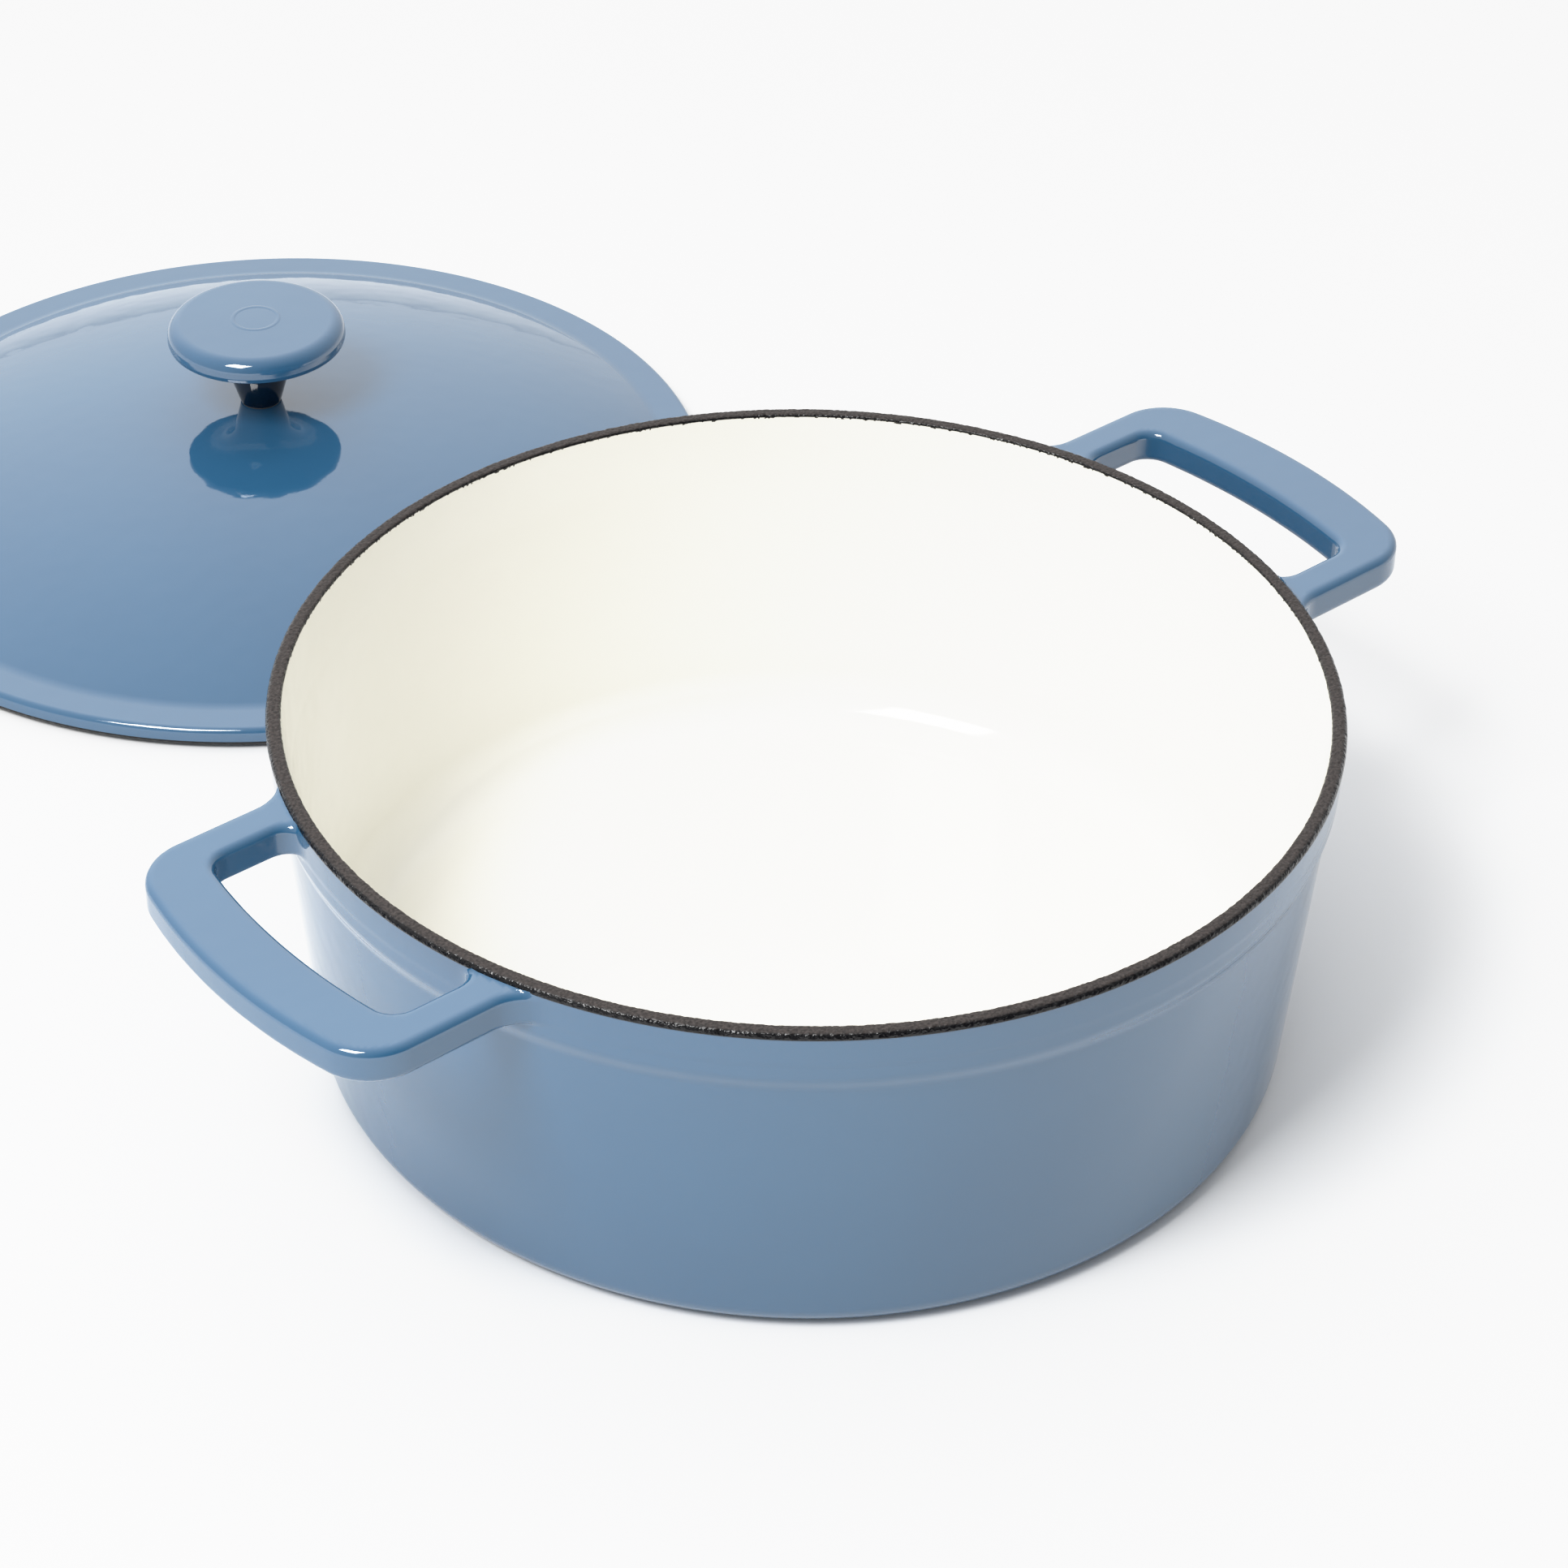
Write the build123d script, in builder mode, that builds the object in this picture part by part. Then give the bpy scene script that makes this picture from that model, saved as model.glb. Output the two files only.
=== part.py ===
from build123d import *

import os
from math import atan2, cos, sin, sqrt

# Round enamelled cast iron dutch oven with two loop handles, its lid lying beside it.
#
# The pot is one iron casting with both handles, the lid is a second one and its knob a
# third. Each casting carries its coats of enamel as separate shells, and a screw from
# below holds the knob to the lid. The origin is at the centre of the pot's foot on the
# table, +X runs through the right-hand handle, +Y towards the lid and +Z up.

os.makedirs("parts", exist_ok=True)

# ---- driving dimensions, millimetres ----
coat = 0.4  # thickness of every enamel coat
land_gap = 0.25  # how far a bare iron land stands out of the enamel around it

# pot body
rim_radius = 135.0
pot_height = 100.0
rim_width = 3.9
rim_edge = 1.5  # rounding of the rim's outer edge
lip_edge = 0.9  # rounding of the rim's inner edge
rim_coat_depth = 1.5  # how far the black coat runs down the outside
lip_coat_depth = 0.8  # how far it runs down the inside
collar_height = 17.4
collar_step = 1.7
collar_step_height = 3.4
collar_draft = 0.6
step_rounding = 1.6
wall_bottom_radius = 126.3
wall_thickness = 3.5
corner_radius = 6.5
base_thickness = 5.0
floor_fillet = 16.0
knee_rounding = 60.0  # inside, where the straight rim turns into the taper
foot_outer = 119.0
foot_width = 6.0
foot_recess = 1.0
foot_land_top = 3.0  # the bare land's section ends inside the base

# pot handles
handle_top = 98.4
handle_thickness = 9.4
handle_edge = 2.8
grip_reach = 176.0  # outermost point of the grip bar, from the pot's axis
grip_bow = 7.4  # how far the grip bar's middle stands out past its ends
grip_half_width = 48.2
grip_corner = 15.8
opening_reach = 158.0
opening_bow = 3.8
opening_half_width = 37.4
opening_corner = 6.3
root_fillet = 6.0
root_circle = 134.0  # the handles' roots end inside the collar
root_cut = 132.3

# lid, lying the right way up on the table
lid_x = 30.2
lid_y = 293.1
lid_radius = 135.5
seat_height = 1.5  # the flange's underside over the table
flange_top = 6.8
flange_width = 14.0
flange_edge = 1.8
step_run = 1.2  # the small step from the flange up to the dome
step_fillet = 1.0
dome_foot = 8.0
dome_top = 33.7
lid_thickness = 4.4
knob_pad = 9.0  # radius of the flat under the knob
ring_outer = 129.6  # locating ring that drops inside the rim
ring_width = 4.0
ring_root = 2.8
ring_edge = 0.8
ring_root_fillet = 1.2
ring_land_margin = 0.3  # the ring's bare land is this much narrower on each side
ring_land_top = 2.0
under_margin = 4.0  # the hollow's arc ends this far inside the dome's
lid_edge_coat = 2.7  # height where the black coat meets the blue one
edge_divide = 2.0  # the two coats meet this far inside the lid's edge
screw_hole = 3.5

# knob, heights over the flat that it stands on
gasket_thickness = 0.6
stem_radius = 6.2
stem_height = 10.0  # the cone below the flare
stem_lean = 3.0  # how much wider the cone is at its top
cap_radius = 26.8
cap_top_radius = 26.3
cap_underside = 20.7
cap_lip = 22.1
cap_flat = 27.5
cap_crown = 0.5
cap_draft = 0.4  # how far the cap's side widens up to its lip
cap_under_edge = 0.5
cap_lip_edge = 0.9
cap_shoulder = 4.4
bore_clearance = 1.0  # the knob's bore runs on past the screw's end

# fastening, all on the lid's axis
screw_radius = 3.0
screw_fit = 0.05
screw_engagement = 15.0
head_radius = 5.8
head_height = 3.4
recess_length = 6.4
recess_width = 1.3
recess_depth = 1.9
washer_radius = 7.6
washer_thickness = 1.2
lock_washer_radius = 5.5
lock_washer_thickness = 1.5
lock_washer_gap = 1.4
washer_bore = 3.3
washer_chamfer = 0.2
lock_washer_twist = 12
head_rounding = 1.8
screw_chamfer = 0.6
recess_taper = 12
gasket_margin = 0.2  # the gasket stops this far inside the stem

# ---- drawing ----
tight_roundings = (rim_edge, lip_edge, ring_edge)  # splines here mesh evenly round a thin ring
spline_spans = 8

# ---- derived sizes ----
reach_past_axis = -10.0  # sections are drawn past the axis, inset, then trimmed at it
collar_bottom = pot_height - collar_height
wall_top_radius = rim_radius - collar_draft - collar_step
wall_slope = (wall_top_radius - wall_bottom_radius) / (collar_bottom - corner_radius)
wall_foot_radius = wall_top_radius - wall_slope * collar_bottom
inner_rim_radius = rim_radius - rim_width
foot_inner = foot_outer - foot_width
opening_start = 120.0
dome_edge = lid_radius - flange_width
ring_inner = ring_outer - ring_width
knob_base = dome_top + gasket_thickness
dome_centre = (dome_top**2 - dome_foot**2 + knob_pad**2 - dome_edge**2) / (2 * (dome_top - dome_foot))
dome_radius = sqrt(knob_pad**2 + (dome_top - dome_centre) ** 2)
lid_axis = Axis((lid_x, lid_y, 0), (0, 0, 1))
lid_plane = Plane(origin=(lid_x, lid_y, 0), x_dir=(1, 0, 0), z_dir=(0, -1, 0))


def wall_radius(height):
    """Outer radius of the pot's tapered wall."""
    return wall_top_radius - wall_slope * (collar_bottom - height)


def dome_height(radius, depth=0.0):
    """Height of the lid's dome, or of a surface that lies a depth below it."""
    return dome_centre + sqrt((dome_radius - depth) ** 2 - radius**2)


def round_corners(builder, corners):
    """Fillet each (radius, height, rounding) corner of a section."""
    for x, y, rounding in corners:
        fillet(builder.vertices().sort_by_distance((x, y, 0))[0], radius=rounding)


def trim_section(builder, inset, bore):
    """Inset a section by a coat's thickness and keep what lies outside the bore."""
    if inset > 0:
        offset(amount=-inset)
    far = rim_radius + 10
    Polygon((bore, -10), (far, -10), (far, 120), (bore, 120), align=None, mode=Mode.INTERSECT)


def pot_section(inset=0.0):
    """Half section of the pot without its handles."""
    floor = base_thickness + land_gap
    shoulder = collar_bottom + collar_step_height
    inner_knee = wall_radius(collar_bottom) - wall_thickness
    inner_floor = wall_radius(floor) - wall_thickness
    with BuildSketch() as section:
        with BuildLine():
            Polyline(
                (reach_past_axis, land_gap + foot_recess),
                (foot_inner - foot_recess, land_gap + foot_recess),
                (foot_inner, land_gap),
                (wall_foot_radius, land_gap),
                (wall_top_radius, collar_bottom),
                (rim_radius - collar_draft, shoulder),
                (rim_radius, pot_height - rim_edge),
                (rim_radius, pot_height),
                (inner_rim_radius, pot_height),
                (inner_knee, collar_bottom),
                (inner_floor, floor),
                (reach_past_axis, floor),
                close=True,
            )
        make_face()
        round_corners(
            section,
            [
                (wall_foot_radius, land_gap, corner_radius),
                (wall_top_radius, collar_bottom, step_rounding),
                (rim_radius - collar_draft, shoulder, step_rounding),
                (rim_radius, pot_height, rim_edge),
                (inner_rim_radius, pot_height, lip_edge),
                (inner_knee, collar_bottom, knee_rounding),
                (inner_floor, floor, floor_fillet),
            ],
        )
        trim_section(section, inset, 0)
    return section.sketch


def lid_section(inset=0.0):
    """Half section of the lid, bored for the knob's screw, all its faces set in by a coat."""
    edge, top, seat = lid_radius - inset, flange_top - inset, seat_height + inset
    ring_out, ring_in, ring_foot = ring_outer - inset, ring_inner + inset, land_gap + inset
    root = ring_root + inset
    step_foot = dome_edge + step_run
    under_end = dome_edge - under_margin
    over = [(r, dome_height(r, inset)) for r in (knob_pad, dome_edge / 2, dome_edge)]
    under = [(r, dome_height(r, lid_thickness - inset)) for r in (under_end, under_end / 2, knob_pad)]
    with BuildSketch() as section:
        with BuildLine():
            Line((screw_hole, over[0][1]), over[0])
            ThreePointArc(*over)
            Polyline(
                over[2],
                (step_foot, top),
                (edge, top),
                (edge, seat),
                (ring_out, seat),
                (ring_out, ring_foot),
                (ring_in, ring_foot),
                (ring_in, root),
                under[0],
            )
            ThreePointArc(*under)
            Polyline(under[2], (screw_hole, under[2][1]), (screw_hole, over[0][1]))
        make_face()
        round_corners(
            section,
            [
                (step_foot, top, step_fillet + inset),
                (edge, top, flange_edge - inset),
                (edge, seat, ring_edge - inset),
                (ring_out, ring_foot, ring_edge - inset),
                (ring_in, ring_foot, ring_edge - inset),
                (ring_in, root, ring_root_fillet + inset),
            ],
        )
    return section.sketch


def knob_section(inset=0.0):
    """Half section of the mushroom knob with its trumpet stem and its screw bore."""
    flare_start = knob_base + stem_height
    underside = knob_base + cap_underside
    stem_top = stem_radius + stem_lean
    turn = atan2(stem_height, stem_lean)  # how far the flare turns to lie flat under the cap
    flare_radius = (underside - flare_start) / (1 - cos(turn))
    flare_end = stem_top + flare_radius * sin(turn)
    lip = knob_base + cap_lip
    flat = knob_base + cap_flat
    with BuildSketch() as section:
        with BuildLine():
            Polyline((reach_past_axis, knob_base), (stem_radius, knob_base), (stem_top, flare_start))
            TangentArc((stem_top, flare_start), (flare_end, underside), tangent=(stem_lean, stem_height))
            Polyline(
                (flare_end, underside),
                (cap_radius - cap_draft, underside),
                (cap_radius, lip),
                (cap_top_radius, flat),
                (0, flat + cap_crown),
                (reach_past_axis, flat + cap_crown),
                (reach_past_axis, knob_base),
            )
        make_face()
        round_corners(
            section,
            [
                (cap_radius - cap_draft, underside, cap_under_edge),
                (cap_radius, lip, cap_lip_edge),
                (cap_top_radius, flat, cap_shoulder),
            ],
        )
        trim_section(section, inset, 0)
        bore = screw_radius + screw_fit
        bore_end = knob_base + screw_engagement + bore_clearance
        Polygon((-1, 0), (bore, 0), (bore, bore_end), (-1, bore_end), align=None, mode=Mode.SUBTRACT)
    return section.sketch


def coat_outline(section, mask):
    """Part of a coat's section inside a mask, its tight outer roundings drawn as splines."""
    with BuildSketch() as cut:
        add(section)
        Polygon(*mask, align=None, mode=Mode.INTERSECT)
    with BuildSketch() as outline:
        for face in cut.sketch.faces():
            with BuildLine():
                for edge in face.outer_wire().edges():
                    if edge.geom_type == GeomType.CIRCLE and round(edge.radius, 3) in tight_roundings:
                        stations = [edge @ (k / spline_spans) for k in range(spline_spans + 1)]
                        Spline(*stations)
                    else:
                        add(edge)
            make_face()
    return outline.sketch


def land(inner, outer, top):
    """Section of a bare iron land that reaches down to the table."""
    with BuildSketch() as section:
        Polygon((inner, 0), (outer, 0), (outer, top), (inner, top), align=None)
    return section.sketch


def loop_outline(reach, bow, half_width, corner):
    """Plan of a loop: straight arms from inside the wall and a bowed grip bar."""
    with BuildSketch() as outline:
        with BuildLine():
            Polyline(
                (reach - bow, half_width),
                (opening_start, half_width),
                (opening_start, -half_width),
                (reach - bow, -half_width),
            )
            ThreePointArc((reach - bow, -half_width), (reach, 0), (reach - bow, half_width))
        make_face()
        fillet(outline.vertices().group_by(Axis.X)[-1], radius=corner)
    return outline.sketch


def handle_blanks(inset=0.0):
    """Both loop handles as one flat plate, rooted in the collar and rounded all round."""
    with BuildPart() as blanks:
        with BuildSketch(Plane.XY.offset(handle_top - handle_thickness + inset)) as plan:
            with PolarLocations(0, 2):
                add(loop_outline(grip_reach, grip_bow, grip_half_width, grip_corner))
            with PolarLocations(0, 2):
                add(
                    loop_outline(opening_reach, opening_bow, opening_half_width, opening_corner),
                    mode=Mode.SUBTRACT,
                )
            Circle(root_circle)
            roots = [v for v in plan.vertices() if abs(sqrt(v.X**2 + v.Y**2) - root_circle) < 0.01]
            fillet(roots, radius=root_fillet)
            if inset > 0:
                offset(amount=-inset)
        extrude(amount=handle_thickness - 2 * inset)
        flats = blanks.faces().filter_by(Axis.Z)
        fillet(flats.edges(), radius=handle_edge - inset)
        Cylinder(radius=root_cut, height=3 * pot_height, mode=Mode.SUBTRACT)
    return blanks.part


# ---- where one coat of the pot ends and the next begins ----
foot_middle = (foot_inner + foot_outer) / 2
rim_middle = rim_radius - rim_width / 2
outer_edge = pot_height - rim_coat_depth
inner_edge = pot_height - lip_coat_depth
outside = rim_radius + 5
pot_divide = [
    (foot_middle, base_thickness / 2),
    (wall_radius(base_thickness * 2) - wall_thickness / 2, base_thickness * 2),
    (wall_top_radius - wall_thickness / 2, collar_bottom),
    (rim_middle, outer_edge),
]
pot_masks = {
    "exterior": [(foot_middle, -1)] + pot_divide + [(outside, outer_edge), (outside, -1)],
    "interior": [(0, base_thickness / 2)] + pot_divide + [(rim_middle, inner_edge), (0, inner_edge)],
    "rim": [
        (0, inner_edge),
        (rim_middle, inner_edge),
        (rim_middle, outer_edge),
        (outside, outer_edge),
        (outside, pot_height + 1),
        (0, pot_height + 1),
    ],
    "base": [(0, -1), (foot_middle, -1), (foot_middle, base_thickness / 2), (0, base_thickness / 2)],
}

with BuildSketch() as pot_iron_section:
    add(pot_section(coat))
    add(land(foot_inner + coat, foot_outer - coat, foot_land_top))

with BuildSketch() as pot_coat_section:
    add(pot_section())
    add(pot_iron_section.sketch, mode=Mode.SUBTRACT)

# ---- pot ----
with BuildPart() as pot_casting:
    with BuildSketch(Plane.XZ):
        add(pot_iron_section.sketch)
    revolve(axis=Axis.Z)
    add(handle_blanks(coat))
pot_casting.part.label = "pot_casting"
export_step(pot_casting.part, "parts/pot_casting.step")

with BuildPart() as pot_exterior_enamel:
    with BuildSketch(Plane.XZ):
        add(pot_coat_section.sketch)
        Polygon(*pot_masks["exterior"], align=None, mode=Mode.INTERSECT)
    revolve(axis=Axis.Z)
    add(handle_blanks())
    add(pot_casting.part, mode=Mode.SUBTRACT)
pot_exterior_enamel.part.label = "pot_exterior_enamel"
export_step(pot_exterior_enamel.part, "parts/pot_exterior_enamel.step")

for region in ("interior", "rim", "base"):
    with BuildPart() as pot_coat:
        with BuildSketch(Plane.XZ):
            add(coat_outline(pot_coat_section.sketch, pot_masks[region]))
        revolve(axis=Axis.Z)
    pot_coat.part.label = f"pot_{region}_enamel"
    export_step(pot_coat.part, f"parts/pot_{region}_enamel.step")

# ---- where one coat of the lid ends and the next begins ----
ring_middle = (ring_inner + ring_outer) / 2
edge_middle = lid_radius - edge_divide
past_lid = lid_radius + 5
mid_radii = [k * dome_edge / 5 for k in range(5)] + [dome_edge - under_margin]
lid_middle = [(r, dome_height(r, lid_thickness / 2)) for r in mid_radii]
lid_divide = lid_middle + [(ring_middle, (ring_root + flange_top) / 2)]
lid_masks = {
    "exterior": lid_divide
    + [(edge_middle, lid_edge_coat), (past_lid, lid_edge_coat), (past_lid, dome_top + 1), (0, dome_top + 1)],
    "interior": lid_divide + [(ring_middle, seat_height), (0, seat_height)],
    "rim": [
        (ring_inner - 2, -1),
        (ring_inner - 2, seat_height),
        (ring_middle, seat_height),
        lid_divide[-1],
        (edge_middle, lid_edge_coat),
        (past_lid, lid_edge_coat),
        (past_lid, -1),
    ],
}

with BuildSketch() as lid_iron_section:
    add(lid_section(coat))
    land_edge = coat + ring_land_margin
    add(land(ring_inner + land_edge, ring_outer - land_edge, ring_land_top))

with BuildSketch() as lid_coat_section:
    add(lid_section())
    add(lid_iron_section.sketch, mode=Mode.SUBTRACT)

# ---- lid ----
with BuildPart() as lid_casting:
    with BuildSketch(lid_plane):
        add(lid_iron_section.sketch)
    revolve(axis=lid_axis)
lid_casting.part.label = "lid_casting"
export_step(lid_casting.part, "parts/lid_casting.step")

for region in ("exterior", "interior", "rim"):
    with BuildPart() as lid_coat:
        with BuildSketch(lid_plane):
            add(coat_outline(lid_coat_section.sketch, lid_masks[region]))
        revolve(axis=lid_axis)
    lid_coat.part.label = f"lid_{region}_enamel"
    export_step(lid_coat.part, f"parts/lid_{region}_enamel.step")

# ---- knob ----
with BuildPart() as knob_casting:
    with BuildSketch(lid_plane):
        add(knob_section(coat))
    revolve(axis=lid_axis)
knob_casting.part.label = "knob_casting"
export_step(knob_casting.part, "parts/knob_casting.step")

with BuildPart() as knob_enamel:
    with BuildSketch(lid_plane):
        add(knob_section())
        add(knob_section(coat), mode=Mode.SUBTRACT)
    revolve(axis=lid_axis)
knob_enamel.part.label = "knob_enamel"
export_step(knob_enamel.part, "parts/knob_enamel.step")

# ---- fastening: gasket over the lid; washer, lock washer and screw under it ----
pad_under = dome_height(knob_pad, lid_thickness)
lock_top = pad_under - washer_thickness
head_top = lock_top - lock_washer_thickness
screw_end = knob_base + screw_engagement


def at_lid(height):
    """Horizontal plane on the lid's axis."""
    return Plane(origin=(lid_x, lid_y, height))


with BuildPart() as knob_gasket:
    with BuildSketch(at_lid(dome_top)):
        Circle(stem_radius - gasket_margin)
        Circle(washer_bore, mode=Mode.SUBTRACT)
    extrude(amount=gasket_thickness)
knob_gasket.part.label = "knob_gasket"
export_step(knob_gasket.part, "parts/knob_gasket.step")

with BuildPart() as flat_washer:
    with BuildSketch(at_lid(lock_top)):
        Circle(washer_radius)
        Circle(washer_bore, mode=Mode.SUBTRACT)
    extrude(amount=washer_thickness)
    chamfer(flat_washer.edges().group_by(Axis.Z)[0].sort_by(SortBy.RADIUS)[-1], length=washer_chamfer)
flat_washer.part.label = "flat_washer"
export_step(flat_washer.part, "parts/flat_washer.step")

with BuildPart() as lock_washer:
    with BuildSketch(at_lid(head_top)):
        Circle(lock_washer_radius)
        Circle(washer_bore, mode=Mode.SUBTRACT)
        with Locations((lock_washer_radius / 2 + 1, 0)):
            Rectangle(lock_washer_radius, lock_washer_gap, rotation=lock_washer_twist, mode=Mode.SUBTRACT)
    extrude(amount=lock_washer_thickness)
lock_washer.part.label = "lock_washer"
export_step(lock_washer.part, "parts/lock_washer.step")

with BuildPart() as knob_screw:
    with BuildSketch(at_lid(head_top)):
        Circle(head_radius)
    extrude(amount=-head_height)
    fillet(knob_screw.edges().group_by(Axis.Z)[0], radius=head_rounding)
    with BuildSketch(at_lid(head_top)):
        Circle(screw_radius)
    extrude(amount=screw_end - head_top)
    chamfer(knob_screw.edges().group_by(Axis.Z)[-1], length=screw_chamfer)
    with BuildSketch(at_lid(head_top - head_height)):
        Rectangle(recess_length, recess_width)
        Rectangle(recess_width, recess_length)
    extrude(amount=recess_depth, taper=recess_taper, mode=Mode.SUBTRACT)
knob_screw.part.label = "knob_screw"
export_step(knob_screw.part, "parts/knob_screw.step")
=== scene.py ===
import math

import bmesh
import bpy
import numpy as np
from mathutils import Matrix, Vector, noise


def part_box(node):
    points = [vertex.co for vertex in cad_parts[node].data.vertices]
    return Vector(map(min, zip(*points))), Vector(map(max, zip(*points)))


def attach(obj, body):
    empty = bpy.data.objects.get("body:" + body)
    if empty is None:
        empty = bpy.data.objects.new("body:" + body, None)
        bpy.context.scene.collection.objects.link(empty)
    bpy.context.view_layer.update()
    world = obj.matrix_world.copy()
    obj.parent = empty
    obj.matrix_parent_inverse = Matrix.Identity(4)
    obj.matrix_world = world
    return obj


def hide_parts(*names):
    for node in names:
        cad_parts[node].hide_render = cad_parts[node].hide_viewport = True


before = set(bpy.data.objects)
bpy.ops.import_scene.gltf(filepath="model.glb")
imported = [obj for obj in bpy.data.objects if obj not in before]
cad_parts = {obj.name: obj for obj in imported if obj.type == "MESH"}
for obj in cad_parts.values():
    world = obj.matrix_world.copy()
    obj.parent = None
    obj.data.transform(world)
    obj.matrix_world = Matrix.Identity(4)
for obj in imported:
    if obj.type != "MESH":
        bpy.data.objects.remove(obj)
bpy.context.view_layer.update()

# Round enamelled dutch oven. Shapes are worked out in millimetres in the frame of the CAD
# model and scaled to metres when a mesh is made.
MM = 0.001

# ---- places and sizes taken from the frame, mm ----
_, rim_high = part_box("pot_rim_enamel")
lid_low, lid_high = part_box("lid_exterior_enamel")
knob_low, knob_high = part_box("knob_enamel")
RIM_RADIUS = rim_high.x / MM
POT_HEIGHT = rim_high.z / MM
LID_X = (lid_low.x + lid_high.x) / 2 / MM
LID_Y = (lid_low.y + lid_high.y) / 2 / MM
LID_RADIUS = (lid_high.x - lid_low.x) / 2 / MM
KNOB_BASE = knob_low.z / MM
CAP_RADIUS = (knob_high.x - knob_low.x) / 2 / MM

# ---- pot, mm ----
COAT = 0.4
RIM_WIDTH = 3.9
RIM_EDGE = 1.5
LIP_EDGE = 0.9
COLLAR_BOTTOM = POT_HEIGHT - 17.4
COLLAR_STEP = 1.7
COLLAR_STEP_HEIGHT = 2.6
COLLAR_DRAFT = 0.6
STEP_ROUNDING = 0.9
KNEE_ROUNDING = 60.0  # inside, where the collar turns into the wall
WALL_TOP = RIM_RADIUS - COLLAR_DRAFT - COLLAR_STEP
WALL_BOTTOM = 126.3
WALL_THICKNESS = 3.5
CORNER = 6.5
FLOOR = 5.25
FLOOR_FILLET = 16.0
FOOT_GAP = 0.25
BLUE_TOP = POT_HEIGHT - 1.35  # the blue coat ends under the black one
BLACK_INSET = 0.03
BLACK_OUTER_DROP = 1.75
BLACK_INNER_DROP = 1.25
BLACK_INNER_PROUD = 0.06
BLACK_THICKNESS = 0.22
PEBBLE_SIZE = 0.75
PEBBLE_DEPTH = 0.16
PEBBLE_START = 1.7  # under the rim's top; the pebbles grow to full depth over PEBBLE_RAMP
PEBBLE_RAMP = 0.6
PEBBLE_SEED = 3
BLUE_RADIUS = RIM_RADIUS - 0.2
FOOT_RADIUS = 118.8
WALL_SLOPE = (WALL_TOP - WALL_BOTTOM) / (COLLAR_BOTTOM - CORNER)
WALL_FOOT = WALL_TOP - WALL_SLOPE * COLLAR_BOTTOM

# ---- handles, mm ----
HANDLE_TOP = 98.4
HANDLE_THICKNESS = 9.4
HANDLE_EDGE = 2.2
GRIP = dict(reach=176.0, bow=7.4, half_width=48.2, corner=15.8)
OPENING = dict(reach=158.0, bow=3.8, half_width=37.4, corner=6.3)
ROOT_CIRCLE = 134.0
ROOT_FILLET = 7.6
ROOT_BLEND = 1.0

# ---- lid, mm over the table ----
DOME_TOP = 33.7
DOME_FOOT = 8.0
DOME_EDGE = LID_RADIUS - 14.0
FLANGE_TOP = 6.8
FLANGE_EDGE = 1.8
KNOB_PAD = 9.0
LID_THICKNESS = 4.4
SEAT = 1.5
RING_OUTER = 129.6
RING_INNER = 125.6
LID_BLUE_BOTTOM = 2.7
DOME_FILLET = 8.0
DOME_LAP = 1.0  # the dome's arc takes over this far inside its edge
LID_INSET = 0.02
RIM_INSET = 0.04
SCREW_CLEARANCE = 4.0
UNDER_EDGE = RING_INNER - 6
UNDER_FOOT = (RING_INNER - 4, SEAT + 3.6)
UNDER_CORNER = RING_INNER - 1.4
RING_ROOT = 2.8
RING_BOTTOM = 0.25
RING_EDGE = 0.8
RING_CORNER = 0.3
LID_BLACK_THICKNESS = 0.3
dome_rise = DOME_TOP**2 - DOME_FOOT**2 + KNOB_PAD**2 - DOME_EDGE**2
DOME_CENTRE = dome_rise / (2 * (DOME_TOP - DOME_FOOT))
DOME_RADIUS = math.hypot(KNOB_PAD, DOME_TOP - DOME_CENTRE)

# ---- knob, mm over its base ----
STEM_RADIUS = 6.2
STEM_HEIGHT = 10.0
STEM_LEAN = 3.0
UNDERSIDE = 20.7
CAP_LIP = 22.1
CAP_FLAT = 27.5
CAP_TOP_RADIUS = 26.3
CAP_SHOULDER = 4.4
CAP_LIP_EDGE = 0.9
CAP_UNDER_INSET = 0.4
CAP_UNDER_EDGE = 0.5
CAP_CROWN = 0.42
CAP_INSET = 0.01
MARK_RADIUS = 6.6  # plain raised ring on the knob's top
MARK_SLOPE = 0.5
MARK_HEIGHT = 0.46
MARK_EDGE = 0.3
MARK_OUTER_FOOT = 0.33
MARK_INNER_FOOT = 0.34

# ---- segments round each turned piece ----
POT_SEGMENTS = 360
LID_SEGMENTS = 480
KNOB_SEGMENTS = 240
RIM_SEGMENTS = 2400


# =========================== fields and meshes ===========================


def union_round(a, b, radius):
    """Union of two distance fields with a round fillet along their meeting."""
    near = np.hypot(np.maximum(radius - a, 0), np.maximum(radius - b, 0))
    return np.maximum(radius, np.minimum(a, b)) - near


def meet_round(a, b, radius):
    """Intersection of two distance fields with a round edge along their meeting."""
    near = np.hypot(np.maximum(radius + a, 0), np.maximum(radius + b, 0))
    return np.minimum(-radius, np.maximum(a, b)) + near


def loop_field(x, y, reach, bow, half_width, corner):
    """Distance in plan to a strip along X closed by a bowed bar, with rounded corners."""
    bar_radius = (half_width**2 + bow**2) / (2 * bow)
    bar_x = reach - bar_radius
    corner_y = half_width - corner
    corner_x = bar_x + math.sqrt((bar_radius - corner) ** 2 - corner_y**2)
    strip = y - half_width
    bar = np.hypot(x - bar_x, y) - bar_radius
    at_corner = (x > corner_x) & (y * (corner_x - bar_x) > corner_y * (x - bar_x))
    rounded = np.hypot(x - corner_x, y - corner_y) - corner
    return np.where(at_corner, rounded, np.maximum(strip, bar))


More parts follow.
